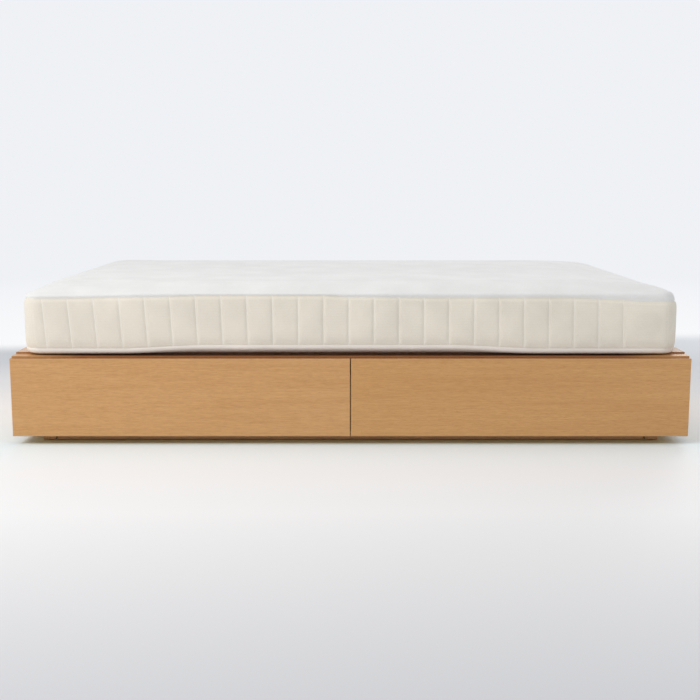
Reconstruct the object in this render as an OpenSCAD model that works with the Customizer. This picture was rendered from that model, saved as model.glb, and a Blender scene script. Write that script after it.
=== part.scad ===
// Low platform bed with two handle-less drawers in its long side and a quilted mattress on its deck.
// +X runs along the length as seen from the drawer side, +Y to the back, +Z up from the floor.

/* [Bed] */
// Length of the mattress that the bed is built for
mat_len = 1950; // [1800:1:2200]
// Width of the mattress that the bed is built for
mat_w = 1200; // [970:1:1400]
// How far the bed shows past each end of the mattress
end_margin = 34; // [10:1:50]
// How far the faces of the drawer fronts stand in front of the mattress
front_margin = 28; // [22:1:60]
// How far the back of the box stands behind the mattress
back_margin = 7; // [0:1:40]
// Height of the top of the front rail above the floor
rail_top = 265; // [245:1:320]
// How far the deck and the end boards stand above the front rail
deck_rise = 5; // [2:1:15]

/* [Boards] */
// Thickness of the two end panels
panel_t = 20; // [15:1:27]
// Thickness of the back panel
back_t = 15; // [9:1:20]
// Thickness of the long divider down the middle of the box
divider_t = 27; // [18:1:36]
// Thickness of the short partitions between the bays
partition_t = 18; // [16:1:27]
// Thickness of the panels that close the box below
bottom_t = 12; // [9:1:18]
// Thickness of the flat front and rear caps
cap_t = 20; // [15:1:25]
// Depth of the flat front and rear caps
cap_w = 47; // [40:1:60]
// Thickness of the upright rails under the caps
rail_t = 20; // [15:1:25]
// Height of the upright rails under the caps
rail_h = 40; // [30:1:42]
// Width of the raised end boards
end_board_w = 60; // [40:1:90]
// Thickness of the raised end boards
end_board_t = 25; // [18:1:30]
// Thickness of the ledge strips that carry the deck
ledge_w = 18; // [12:1:30]
// Height of the ledge strips that carry the deck
ledge_h = 28; // [22:1:32]
// Width of the bearers under the deck joints
bearer_w = 30; // [20:1:50]
// Height of the bearers under the deck joints
bearer_h = 45; // [30:1:48]
// Thickness of the deck panels
deck_t = 12; // [9:1:18]
// Gap between deck panels and round them
deck_gap = 1; // [0.5:0.5:4]

/* [Plinth] */
// Height from the floor to the underside of the box
plinth_h = 30; // [24:1:40]
// Thickness of the plinth boards
plinth_t = 18; // [12:1:30]
// Side of the square legs at the plinth corners
leg_w = 40; // [30:1:60]
// Setback of the plinth from the ends of the bed
plinth_end_in = 74; // [30:1:150]
// Setback of the plinth from the front and back planes of the box
plinth_side_in = 40; // [20:1:150]
// Width of the cross joists inside the plinth
joist_w = 40; // [20:1:60]
// Thickness of the floor glides
glide_t = 2; // [1:0.5:5]
// Radius of the floor glides
glide_r = 14; // [8:1:15]

/* [Drawers] */
// Thickness of the drawer fronts
front_t = 18; // [15:1:25]
// How far the top of the front cap shows above the drawer fronts
front_reveal = 5; // [2:1:15]
// Height of the lower edge of the drawer fronts above the floor
front_low = 25; // [15:1:30]
// Gap between the two drawer fronts
front_gap = 3; // [2:0.5:6]
// Air between a closed drawer front and the box
front_air = 2; // [1:0.5:5]
// Eased edge along the top and bottom of the fronts
front_ease = 1; // [0.5:0.5:3]
// Height and depth of the finger bevel behind the lower edge of the fronts
grip = 9; // [5:1:14]
// Thickness of the drawer sides, inner front and back
drawer_t = 12; // [10:1:15]
// Room between the drawer sides and the rail above them
drawer_top_air = 10; // [5:1:40]
// Room between the back of a drawer and the long divider
drawer_back_air = 41; // [10:1:80]
// Thickness of the drawer bottom
tray_t = 5.5; // [4:0.5:9]
// Height of the drawer bottom above the lower edge of the sides
tray_lift = 10; // [8:1:20]
// Depth of the groove that holds the drawer bottom
groove_d = 6; // [3:1:8]
// Width of the batten under the drawer bottom
batten_w = 40; // [20:1:80]

/* [Slides] */
// How far a drawer side runs on behind its slide
slide_short = 5; // [0:1:40]
// Length of a slide that stays inside when the drawer is out
slide_hold = 150; // [110:1:250]
// Room at each side of a drawer for its slide
slide_gap = 12.5; // [12.5:0.1:14]
// Sheet thickness of the slides
steel_t = 1.2; // [1:0.1:1.5]
// Outer height of the cabinet channel
channel_h = 22; // [22:0.5:26]
// Height of the channel above the bottom panels
channel_lift = 8; // [4:1:12]
// Height of the drawer sides above the lower edge of the channel
side_lift = 5.2; // [4:0.2:8]
// Setback of the cabinet runners behind the front of the box
runner_in = 3; // [2:1:8]
// Radius of the nylon rollers
roller_r = 9.5; // [8:0.1:9.5]
// Width of the nylon rollers
roller_w = 7; // [5:0.5:7]
// Radius of the roller pins
pin_r = 3; // [2:0.1:3.5]
// Radial clearance between roller and pin
pin_fit = 0.05; // [0.02:0.01:0.1]

/* [Mattress] */
// Height of the mattress border up to its top seam
mat_side_h = 184; // [100:1:260]
// Height of the crowned top above the top seam
mat_crown = 24; // [10:1:40]
// Radius of the mattress corners, seen from above
mat_corner_r = 51; // [36:1:100]
// Spacing of the stitched channels on the border
stitch_pitch = 74.7; // [70:0.1:120]
// Depth of the stitched channels on the border
stitch_deep = 6; // [2:1:12]
// Plain stretch before the first channel of each side
stitch_start = 15; // [5:1:60]
// Plain stretch left after the last channel of each side
stitch_rest = 114; // [20:1:160]

/* [Fasteners] */
// Shank radius of the wood screws
screw_r = 1.75; // [1.5:0.05:2]
// Reach of the wood screws into the wood
screw_in = 7.8; // [5:0.1:7.8]
// Distance of the outer screws from the ends of a cabinet runner
cabinet_screw_in = 45; // [38:1:80]
// Distance of the screws from the ends of a drawer runner
runner_screw_in = 60; // [40:1:120]
// Distance of the front screws from the ends of the inner front
front_screw_in = 48; // [20:1:120]
// Distance of the front screws from the tray and from the top of the drawer
front_screw_up = 25; // [10:1:50]
// Radius of the flat and pan screw heads
head_r = 3.6; // [3:0.1:4]
// Height of the pan screw heads
head_h = 2; // [1:0.1:2.5]
// Length of each leg of the corner brackets
bracket_leg = 34; // [24:1:36]
// Height of the corner brackets
bracket_h = 20; // [14:1:22]
// Sheet thickness of the corner brackets
bracket_t = 2; // [1:0.5:3]
// Radius of the wooden dowels
dowel_r = 4; // [3:0.5:5]
// Length of the wooden dowels
dowel_len = 28; // [20:1:30]
// Distance of the dowels from the edges of a rail
rail_dowel_in = 10; // [8:1:14]
// Distance of the dowels from the edges of the long divider
divider_dowel_in = 40; // [15:1:60]
// Radius of the rubber bumpers behind the drawer fronts
bumper_r = 3.5; // [2:0.5:4]
// Distance of the bumpers from the bottom panels and from the rail
bumper_in = 30; // [10:1:60]

/* [Hidden] */

LEFT = -1;
RIGHT = 1;
$fn = 48;

// Clearances that every seat and fit below shares
fit = 0.05;          // round a screw shank or a dowel
groove_play = 0.3;   // above the drawer bottom and at its edges
bumper_air = 0.1;    // between a bumper and a closed drawer front
soft_air = 0.3;      // between the mattress and the deck
roll_air = 0.05;     // between a roller and the steel that it runs on
stop_air = 0.4;      // between a drawer roller and its stop at full travel
side_air = 0.1;      // at each side of a roller on its pin
wall_air = 0.3;      // between a drawer runner and the cabinet runner's web
run_air = 1;         // between a channel and the flange that runs above it
nose = 3;            // steel left beyond a roller at the end of a runner
channel_air = 5;     // between the cabinet roller and the start of the channel
bracket_air = 2;     // between a bracket and the ledge above it
cut = 1;             // how far a cut runs past the face that it opens

// The box takes its outline from the mattress
bed_len = mat_len + 2 * end_margin;
box_depth = front_margin + mat_w + back_margin - front_t - front_air;

// Planes along Y: the drawer faces and the back are at equal distances from the origin
face_y = -(front_t + front_air + box_depth) / 2;
box_y = face_y + front_t + front_air;
back_y = box_y + box_depth;
mid_y = box_y + box_depth / 2;
cap_y = box_y + cap_w;
rear_cap_y = back_y - cap_w;
divider_front = mid_y - divider_t / 2;
divider_back = mid_y + divider_t / 2;

// Planes along X
end_x = bed_len / 2;
panel_in = end_x - panel_t;
board_in = end_x - end_board_w;
ledge_in = board_in - ledge_w;
bearer_x = board_in / 2;

// Heights
floor_top = plinth_h + bottom_t;
deck_top = rail_top + deck_rise;
deck_low = deck_top - deck_t;
cap_low = rail_top - cap_t;
board_low = deck_top - end_board_t;
rail_low = cap_low - rail_h;
ledge_low = deck_low - ledge_h;

// Slide heights, from the channel up
channel_low = floor_top + channel_lift;
channel_top = channel_low + channel_h;
run_z = channel_top + run_air;
cabinet_roller_z = run_z - roll_air - roller_r;
drawer_roller_z = channel_low + steel_t + roll_air + roller_r;

// One drawer, measured in its bay
bay_w = panel_in - partition_t / 2;
bay_x = (panel_in + partition_t / 2) / 2;
drawer_w = bay_w - 2 * slide_gap;
drawer_y = box_y - front_air;
drawer_depth = divider_front - drawer_back_air - drawer_y;
drawer_low = channel_low + side_lift;
drawer_h = rail_low - drawer_top_air - drawer_low;
front_h = rail_top - front_reveal - front_low;
tray_low = drawer_low + tray_lift;
tray_top = tray_low + tray_t;

// Along a slide
slide_len = drawer_depth - slide_short;
travel = slide_len - slide_hold;
cabinet_start = box_y + runner_in;
cabinet_roller_y = cabinet_start + nose + roller_r;
channel_start = cabinet_roller_y + roller_r + channel_air;
drawer_roller_y = drawer_y + slide_len - nose - roller_r;
stop_y = drawer_roller_y - travel - roller_r - stop_air;

// Across a slide, from the drawer side towards the wall of the bay
channel_lip = 2;
roller_u = 3.2;
pin_head_t = 0.7;
pin_head_r = 1.5 * pin_r;

// Places of the screws along the slides
cabinet_screw_y = [for (y = [cabinet_screw_in, slide_len / 2, slide_len - cabinet_screw_in])
    cabinet_start + y];
runner_screw_y = [for (y = [runner_screw_in, slide_len - runner_screw_in]) drawer_y + y];
cabinet_screw_z = channel_low + channel_h / 2;
runner_screw_z = drawer_low + tray_lift / 2;

WOOD = "#c4956a";
PALE_WOOD = "#dcc3a0";
DARK_WOOD = "#6e4a34";
STEEL = "#d8d6cf";
NYLON = "#f2efe6";

// A block between two opposite corners
module block(low, high) {
    translate(low) cube(high - low);
}

// A cylinder along +X from a point
module rod(at, r, len) {
    translate(at) rotate([0, 90, 0]) cylinder(r = r, h = len);
}

module both_ends() {
    children();
    mirror([1, 0, 0]) children();
}

// What is drawn at the right-hand end, at the end that side names
module on_side(side) {
    mirror([side == LEFT ? 1 : 0, 0, 0]) children();
}

// ---------------------------------------------------------------- plinth

module leg_places() {
    for (x = [LEFT, RIGHT], y = [box_y + plinth_side_in + leg_w / 2, back_y - plinth_side_in - leg_w / 2])
        translate([x * (end_x - plinth_end_in - leg_w / 2), y, 0]) children();
}

module corner_legs() {
    color(DARK_WOOD) leg_places()
        block([-leg_w / 2, -leg_w / 2, glide_t], [leg_w / 2, leg_w / 2, plinth_h]);
}

module floor_glides() {
    color("gray") {
        leg_places() cylinder(r = glide_r, h = glide_t);
        for (x = [LEFT, 0, RIGHT], y = [-1, 0, 1])
            translate([x * bearer_x, mid_y + y * box_depth / 3, 0]) cylinder(r = glide_r, h = glide_t);
    }
}

module plinth_board(y) {
    color(DARK_WOOD)
        block([-(end_x - plinth_end_in - leg_w), y, glide_t],
              [end_x - plinth_end_in - leg_w, y + plinth_t, plinth_h]);
}

module plinth_front() plinth_board(box_y + plinth_side_in);
module plinth_rear() plinth_board(back_y - plinth_side_in - plinth_t);

module plinth_ends() {
    color(DARK_WOOD) both_ends()
        block([end_x - plinth_end_in - plinth_t, box_y + plinth_side_in + leg_w, glide_t],
              [end_x - plinth_end_in, back_y - plinth_side_in - leg_w, plinth_h]);
}

module plinth_joists() {
    color(DARK_WOOD) for (x = [LEFT, 0, RIGHT])
        translate([x * bearer_x, 0, 0])
            block([-joist_w / 2, box_y + plinth_side_in + plinth_t, glide_t],
                  [joist_w / 2, back_y - plinth_side_in - plinth_t, plinth_h]);
}

// ---------------------------------------------------------------- box

// Dowels across the joints between the end panels and the long boards
module dowel_places() {
    both_ends() {
        for (y = [cap_y - rail_t / 2, rear_cap_y + rail_t / 2],
             z = [rail_low + rail_dowel_in, cap_low - rail_dowel_in])
            translate([panel_in - dowel_len / 2, y, z]) children();
        for (z = [floor_top + divider_dowel_in, ledge_low - divider_dowel_in])
            translate([panel_in - dowel_len / 2, mid_y, z]) children();
    }
}

module dowel_holes() {
    dowel_places() rod([-fit, 0, 0], dowel_r + fit, dowel_len + 2 * fit);
}

module frame_dowels() {
    color(PALE_WOOD) dowel_places() rod([0, 0, 0], dowel_r, dowel_len);
}

module end_panel(side) {
    color(WOOD) difference() {
        on_side(side) {
            block([panel_in, box_y, plinth_h], [end_x, cap_y, cap_low]);
            block([panel_in, cap_y, plinth_h], [end_x, rear_cap_y, board_low]);
            block([panel_in, rear_cap_y, plinth_h], [end_x, back_y, cap_low]);
        }
        dowel_holes();
        cabinet_screw_cuts();
        bracket_screw_cuts();
    }
}

module left_end_panel() end_panel(LEFT);
module right_end_panel() end_panel(RIGHT);

module back_panel() {
    color(WOOD) block([-panel_in, back_y - back_t, plinth_h], [panel_in, back_y, cap_low]);
}

module bottom_panel(side) {
    color(PALE_WOOD) on_side(side)
        block([0, box_y, plinth_h], [panel_in, back_y - back_t, floor_top]);
}

module left_bottom_panel() bottom_panel(LEFT);
module right_bottom_panel() bottom_panel(RIGHT);

module long_divider() {
    color(PALE_WOOD) difference() {
        union() {
            block([-panel_in, divider_front, floor_top], [panel_in, divider_back, ledge_low]);
            block([-ledge_in, divider_front, ledge_low], [ledge_in, divider_back, deck_low]);
        }
        dowel_holes();
        bracket_screw_cuts();
    }
}

// A partition steps down under the rail and the ledge at its outer end
module partition(y_in, y_out) {
    way = y_out > y_in ? 1 : -1;
    ledge_y = way > 0 ? rear_cap_y - ledge_w : cap_y + ledge_w;
    rail_y = way > 0 ? rear_cap_y : cap_y;
    module slab(y, top)
        block([-partition_t / 2, min(y_in, y), floor_top], [partition_t / 2, max(y_in, y), top]);
    color(PALE_WOOD) difference() {
        union() {
            slab(y_out, rail_low);
            slab(rail_y, ledge_low);
            slab(ledge_y, deck_low);
        }
        cabinet_screw_cuts();
        bracket_screw_cuts();
    }
}

module front_partition() partition(divider_front, box_y);
module rear_partition() partition(divider_back, back_y - back_t);

module upright_rail(y) {
    color(PALE_WOOD) difference() {
        block([-panel_in, y, rail_low], [panel_in, y + rail_t, cap_low]);
        dowel_holes();
        bracket_screw_cuts();
    }
}

module front_rail() upright_rail(cap_y - rail_t);
module rear_rail() upright_rail(rear_cap_y);

module cap(y) {
    color(WOOD) block([-end_x, y, cap_low], [end_x, y + cap_w, rail_top]);
}

module front_cap() cap(box_y);
module rear_cap() cap(rear_cap_y);

module end_board(side) {
    color(WOOD) on_side(side)
        block([board_in, cap_y, board_low], [end_x, rear_cap_y, deck_top]);
}

module left_end_board() end_board(LEFT);
module right_end_board() end_board(RIGHT);

// ---------------------------------------------------------------- deck

module ledge(y) {
    color(PALE_WOOD) block([-ledge_in, y, ledge_low], [ledge_in, y + ledge_w, deck_low]);
}

module front_ledge() ledge(cap_y);
module rear_ledge() ledge(rear_cap_y - ledge_w);

module end_ledges() {
    color(PALE_WOOD) both_ends()
        block([ledge_in, cap_y, ledge_low], [board_in, rear_cap_y, deck_low]);
}

module bearers(y_low, y_high) {
    color(PALE_WOOD) both_ends()
        block([bearer_x - bearer_w / 2, y_low, deck_low - bearer_h],
              [bearer_x + bearer_w / 2, y_high, deck_low]);
}

module front_bearers() bearers(cap_y + ledge_w, divider_front);
module rear_bearers() bearers(divider_back, rear_cap_y - ledge_w);

// A row of four panels that lie loose on the ledges, bearers, partition and divider
module deck_row(y_low, y_high) {
    color(PALE_WOOD) for (i = [-2:1])
        block([i * bearer_x + deck_gap / 2, y_low + deck_gap / 2, deck_low],
              [(i + 1) * bearer_x - deck_gap / 2, y_high - deck_gap / 2, deck_top]);
}

module front_deck_panels() deck_row(cap_y, mid_y);
module rear_deck_panels() deck_row(mid_y, rear_cap_y);

// ---------------------------------------------------------------- mattress

// Each ring of the mattress: [height, inset from the widest outline, share of the channel depth]
mat_rings = [
    [0, 14, 0],
    [9, 3, 0],
    [mat_side_h / 2, 0, 1],
    [mat_side_h, 4, 0.4],
    [mat_side_h + 0.35 * mat_crown, 12, 0],
    [mat_side_h + 0.65 * mat_crown, 34, 0],
    [mat_side_h + 0.92 * mat_crown, 230, 0]
];

// Places along one side: [distance from the middle, 1 in a channel or 0 between]
function side_stops(half) =
    let (n = floor((2 * half - stitch_start - stitch_rest) / stitch_pitch))
    concat([[-half, 0]],
        [for (i = [0:2 * n]) [-half + stitch_start + i * stitch_pitch / 2, i % 2 == 0 ? 1 : 0]],
        [[half, 0]]);

// One ring's points, side by side and corner by corner, anticlockwise from above
function mat_ring(z, inset, share) =
    let (r = max(mat_corner_r - inset, 4))
    [for (side = [0:3])
        let (along = (side % 2 == 0 ? mat_len : mat_w) / 2,
             across = (side % 2 == 0 ? mat_w : mat_len) / 2,
             dir = [cos(90 * side), sin(90 * side)],
             out = [sin(90 * side), -cos(90 * side)],
             half = along - mat_corner_r,
             scale = (along - inset - r) / half)
        each concat(
            [for (stop = side_stops(half))
                let (p = dir * stop[0] * scale + out * (across - inset - stop[1] * share * stitch_deep))
                [p[0], p[1], z]],
            [for (turn = [30, 60])
                let (p = dir * (along - inset - r + r * sin(turn))
                       + out * (across - inset - r + r * cos(turn)))
                [p[0], p[1], z]])];

module mattress() {
    rings = [for (ring = mat_rings) mat_ring(ring[0], ring[1], ring[2])];
    n = len(rings[0]);
    last = len(rings) - 1;
    points = concat([for (ring = rings) each ring],
        [[0, 0, 0], [0, 0, mat_side_h + mat_crown]]);
    low_centre = n * len(rings);
    walls = [for (j = [0:last - 1], i = [0:n - 1])
        let (a = j * n + i, b = j * n + (i + 1) % n)
        each [[a, a + n, b], [b, a + n, b + n]]];
    caps = [for (i = [0:n - 1])
        each [[low_centre, i, (i + 1) % n],
              [low_centre + 1, last * n + (i + 1) % n, last * n + i]]];
    color("#f1ebe0")
        translate([0, face_y + front_margin + mat_w / 2, deck_top + soft_air])
            polyhedron(points, concat(walls, caps));
}

// ---------------------------------------------------------------- drawers

// The middle of one drawer's bay
module in_bay(side) {
    translate([side * bay_x, 0, 0]) children();
}

// Both slides of one drawer, with +X pointing from the drawer side to the wall of the bay
module at_slides(side) {
    in_bay(side) both_ends() translate([drawer_w / 2, 0, 0]) children();
}

front_screw_x = [for (i = [-1:1]) i * (drawer_w / 2 - drawer_t - front_screw_in)];
front_screw_z = [tray_top + front_screw_up, drawer_low + drawer_h - front_screw_up];

module front_screw_places(side) {
    in_bay(side) for (x = front_screw_x, z = front_screw_z)
        translate([x, drawer_y + drawer_t, z]) rotate([90, 0, 0]) children();
}

module front_screw_holes(side) {
    front_screw_places(side) translate([0, 0, -cut])
        cylinder(r = screw_r + fit, h = cut + drawer_t + screw_in + fit);
}

module front_screws(side) {
    color("silver") front_screw_places(side) {
        cylinder(r = screw_r, h = drawer_t + screw_in);
        translate([0, 0, -head_h]) cylinder(r = head_r, h = head_h);
    }
}

// Outline of a drawer front seen from its end, with the finger bevel behind its lower edge
module front_outline() {
    polygon([[front_ease, 0], [front_t - grip, 0], [front_t, grip], [front_t, front_h - front_ease],
        [front_t - front_ease, front_h], [front_ease, front_h], [0, front_h - front_ease],
        [0, front_ease]]);
}

module drawer_front(side) {
    long = end_x - front_gap / 2;
    color(WOOD) difference() {
        translate([side == LEFT ? -end_x : front_gap / 2, face_y, front_low])
            rotate([90, 0, 90]) linear_extrude(long) front_outline();
        front_screw_holes(side);
    }
}

// The groove for the drawer bottom runs round the sides and the inner front
module tray_groove(side) {
    in_bay(side)
        block([-drawer_w / 2 + drawer_t - groove_d, drawer_y + drawer_t - groove_d, tray_low],
              [drawer_w / 2 - drawer_t + groove_d, drawer_y + drawer_depth + cut, tray_top + groove_play]);
}

module drawer_inner_front(side) {
    color(PALE_WOOD) difference() {
        in_bay(side) block([-drawer_w / 2 + drawer_t, drawer_y, drawer_low],
                           [drawer_w / 2 - drawer_t, drawer_y + drawer_t, drawer_low + drawer_h]);
        tray_groove(side);
        front_screw_holes(side);
    }
}

module drawer_sides(side) {
    color(PALE_WOOD) difference() {
        at_slides(side) block([-drawer_t, drawer_y, drawer_low],
                              [0, drawer_y + drawer_depth, drawer_low + drawer_h]);
        tray_groove(side);
        runner_screw_cuts(side);
    }
}

module drawer_back(side) {
    color(PALE_WOOD) in_bay(side)
        block([-drawer_w / 2 + drawer_t, drawer_y + drawer_depth - drawer_t, tray_top],
              [drawer_w / 2 - drawer_t, drawer_y + drawer_depth, drawer_low + drawer_h]);
}

module drawer_bottom(side) {
    half = drawer_w / 2 - drawer_t + groove_d - groove_play;
    color("#e6d6b8") in_bay(side)
        block([-half, drawer_y + drawer_t - groove_d + groove_play, tray_low],
              [half, drawer_y + drawer_depth, tray_top]);
}

module drawer_batten(side) {
    color(PALE_WOOD) in_bay(side)
        block([-batten_w / 2, drawer_y + drawer_t, drawer_low],
              [batten_w / 2, drawer_y + drawer_depth, tray_low]);
}

// ---------------------------------------------------------------- slides

module roller(y, z) {
    difference() {
        rod([roller_u, y, z], roller_r, roller_w);
        rod([roller_u - cut, y, z], pin_r + pin_fit, roller_w + 2 * cut);
    }
}

// A riveted pin: a shoulder between its sheet and the roller, and a head past the roller
module roller_pin(y, z, sheet) {
    low = roller_u - side_air;
    high = roller_u + roller_w + side_air;
    from_low = sheet < low;
    start = from_low ? sheet : low - pin_head_t;
    end = from_low ? high + pin_head_t : sheet;
    rod([start, y, z], pin_r, end - start);
    rod([start, y, z], pin_head_r, from_low ? low - start : pin_head_t);
    rod([high, y, z], pin_head_r, end - high);
}

// Channel on the wall of the bay, with its front roller's pin and the stop for the drawer's roller
module cabinet_runner() {
    end_y = cabinet_start + slide_len;
    block([slide_gap - steel_t, cabinet_start, channel_low], [slide_gap, end_y, channel_top]);
    block([channel_lip, channel_start, channel_low], [slide_gap, end_y, channel_low + steel_t]);
    block([channel_lip, channel_start, channel_top - steel_t], [slide_gap, end_y, channel_top]);
    block([roller_u, stop_y - steel_t, channel_low], [slide_gap, stop_y, channel_top]);
    roller_pin(cabinet_roller_y, cabinet_roller_z, slide_gap - steel_t / 2);
}

// Angle under the drawer side, with the flange that rides on the front roller and its own rear pin
module drawer_runner() {
    start_y = drawer_y + front_air;
    end_y = drawer_y + slide_len;
    block([0, start_y, drawer_low - steel_t], [steel_t, end_y, run_z + steel_t]);
    block([-drawer_t, start_y, drawer_low - steel_t], [steel_t, end_y, drawer_low]);
    block([0, start_y, run_z], [slide_gap - steel_t - wall_air, end_y, run_z + steel_t]);
    roller_pin(drawer_roller_y, drawer_roller_z, steel_t / 2);
}

// A flat-head screw along +X, its head flush with the sheet that it holds
module flat_screw(grow) {
    len = steel_t + screw_in + grow;
    rod([0, 0, 0], screw_r + grow, len);
    rotate([0, 90, 0]) cylinder(r1 = head_r + grow, r2 = screw_r + grow, h = head_r - screw_r);
}

module cabinet_screw_places(side) {
    at_slides(side) for (y = cabinet_screw_y)
        translate([slide_gap - steel_t, y, cabinet_screw_z]) children();
}

module runner_screw_places(side) {
    at_slides(side) for (y = runner_screw_y)
        translate([steel_t, y, runner_screw_z]) mirror([1, 0, 0]) children();
}

module cabinet_screw_cuts() {
    for (side = [LEFT, RIGHT]) cabinet_screw_places(side) flat_screw(fit);
}

module runner_screw_cuts(side) {
    runner_screw_places(side) flat_screw(fit);
}

module cabinet_runners(side) {
    color(STEEL) difference() {
        at_slides(side) cabinet_runner();
        cabinet_screw_cuts();
    }
}

module drawer_runners(side) {
    color(STEEL) difference() {
        at_slides(side) drawer_runner();
        runner_screw_cuts(side);
    }
}

module cabinet_screws() {
    color("silver") for (side = [LEFT, RIGHT]) cabinet_screw_places(side) flat_screw(0);
}

module runner_screws(side) {
    color("silver") runner_screw_places(side) flat_screw(0);
}

module cabinet_rollers(side) {
    color(NYLON) at_slides(side) roller(cabinet_roller_y, cabinet_roller_z);
}

module drawer_rollers(side) {
    color(NYLON) at_slides(side) roller(drawer_roller_y, drawer_roller_z);
}

// ---------------------------------------------------------------- brackets and bumpers

bracket_low = ledge_low - bracket_air - bracket_h;

// Inner corners that take a bracket: each has one leg along +X and one along +Y
module bracket_places() {
    for (end = [0, 1]) mirror([0, end, 0]) translate([0, end == 0 ? 0 : -2 * mid_y, 0])
        both_ends() {
            translate([panel_in, cap_y, bracket_low]) mirror([1, 0, 0]) children();
            translate([partition_t / 2, cap_y, bracket_low]) children();
            translate([panel_in, divider_front, bracket_low]) mirror([1, 0, 0]) mirror([0, 1, 0])
                children();
        }
}

module pan_screw(grow) {
    cylinder(r = screw_r + grow, h = bracket_t + screw_in + grow);
    if (grow == 0) translate([0, 0, -head_h]) cylinder(r = head_r, h = head_h);
}

module bracket_screw_set(grow) {
    middle = bracket_t + (bracket_leg - bracket_t) / 2;
    translate([middle, bracket_t, bracket_h / 2]) rotate([90, 0, 0]) pan_screw(grow);
    translate([bracket_t, middle, bracket_h / 2]) rotate([0, -90, 0]) pan_screw(grow);
}

module bracket_screw_cuts() {
    bracket_places() bracket_screw_set(fit);
}

module corner_brackets() {
    color(STEEL) difference() {
        bracket_places() {
            block([0, 0, 0], [bracket_leg, bracket_t, bracket_h]);
            block([0, 0, 0], [bracket_t, bracket_leg, bracket_h]);
        }
        bracket_screw_cuts();
    }
}

module bracket_screws() {
    color("silver") bracket_places() bracket_screw_set(0);
}

module front_bumpers() {
    color("gray") both_ends()
        for (x = [end_x - panel_t / 2, partition_t / 4], z = [floor_top + bumper_in, rail_low - bumper_in])
            translate([x, box_y, z]) rotate([90, 0, 0])
                cylinder(r = bumper_r, h = front_air - bumper_air);
}

corner_legs();
floor_glides();
plinth_front();
plinth_rear();
plinth_ends();
plinth_joists();
left_end_panel();
right_end_panel();
back_panel();
left_bottom_panel();
right_bottom_panel();
long_divider();
front_partition();
rear_partition();
front_rail();
front_cap();
rear_rail();
rear_cap();
left_end_board();
right_end_board();
front_ledge();
rear_ledge();
end_ledges();
front_bearers();
rear_bearers();
front_deck_panels();
rear_deck_panels();
mattress();
drawer_front(LEFT);  // left_drawer_front
drawer_inner_front(LEFT);  // left_drawer_inner_front
drawer_sides(LEFT);  // left_drawer_sides
drawer_back(LEFT);  // left_drawer_back
drawer_bottom(LEFT);  // left_drawer_bottom
drawer_batten(LEFT);  // left_drawer_batten
front_screws(LEFT);  // left_front_screws
drawer_runners(LEFT);  // left_drawer_runners
drawer_rollers(LEFT);  // left_drawer_rollers
cabinet_runners(LEFT);  // left_cabinet_runners
cabinet_rollers(LEFT);  // left_cabinet_rollers
drawer_front(RIGHT);  // right_drawer_front
drawer_inner_front(RIGHT);  // right_drawer_inner_front
drawer_sides(RIGHT);  // right_drawer_sides
drawer_back(RIGHT);  // right_drawer_back
drawer_bottom(RIGHT);  // right_drawer_bottom
drawer_batten(RIGHT);  // right_drawer_batten
front_screws(RIGHT);  // right_front_screws
drawer_runners(RIGHT);  // right_drawer_runners
drawer_rollers(RIGHT);  // right_drawer_rollers
cabinet_runners(RIGHT);  // right_cabinet_runners
cabinet_rollers(RIGHT);  // right_cabinet_rollers
runner_screws(LEFT);  // left_runner_screws
runner_screws(RIGHT);  // right_runner_screws
cabinet_screws();
corner_brackets();
bracket_screws();
frame_dowels();
front_bumpers();
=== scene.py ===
# A low oak platform bed with two handle-less drawers, and the quilted mattress that lies on it.
# Metres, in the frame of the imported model: +X along the length, +Y to the back, +Z up.

import bpy
import bmesh
import math
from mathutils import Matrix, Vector


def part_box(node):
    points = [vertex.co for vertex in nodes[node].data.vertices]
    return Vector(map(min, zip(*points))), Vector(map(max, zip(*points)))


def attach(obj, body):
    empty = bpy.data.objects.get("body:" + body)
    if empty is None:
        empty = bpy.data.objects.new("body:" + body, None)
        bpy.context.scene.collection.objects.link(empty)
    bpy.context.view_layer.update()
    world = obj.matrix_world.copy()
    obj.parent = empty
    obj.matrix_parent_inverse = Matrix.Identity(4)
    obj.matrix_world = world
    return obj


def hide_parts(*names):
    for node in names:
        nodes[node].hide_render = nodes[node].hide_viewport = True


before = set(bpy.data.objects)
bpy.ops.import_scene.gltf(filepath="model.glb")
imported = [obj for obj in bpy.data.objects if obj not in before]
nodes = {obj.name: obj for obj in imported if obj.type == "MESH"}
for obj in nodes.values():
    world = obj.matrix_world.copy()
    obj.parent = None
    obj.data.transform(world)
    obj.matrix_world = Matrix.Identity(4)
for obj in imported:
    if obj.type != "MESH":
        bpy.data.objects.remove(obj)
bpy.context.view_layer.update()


# ------------------------------------------------------------------ floor glides
# Thirteen flat pads that keep the plinth off the floor. They are injection-moulded
# polypropylene, dark grey, each pressed on with a pin.

def linear(code):
    """An sRGB hex colour as the linear values that Blender's sockets take."""
    parts = [int(code[i:i + 2], 16) / 255 for i in (1, 3, 5)]
    return [c / 12.92 if c <= 0.04045 else ((c + 0.055) / 1.055) ** 2.4 for c in parts] + [1.0]


def join(owner, node, links):
    """Feeds sockets of a node, each from an output or from a node's first output in use."""
    for key, source in links.items():
        if isinstance(source, bpy.types.Node):
            source = next(output for output in source.outputs if output.enabled)
        owner.node_tree.links.new(source, node.inputs[key])


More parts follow.
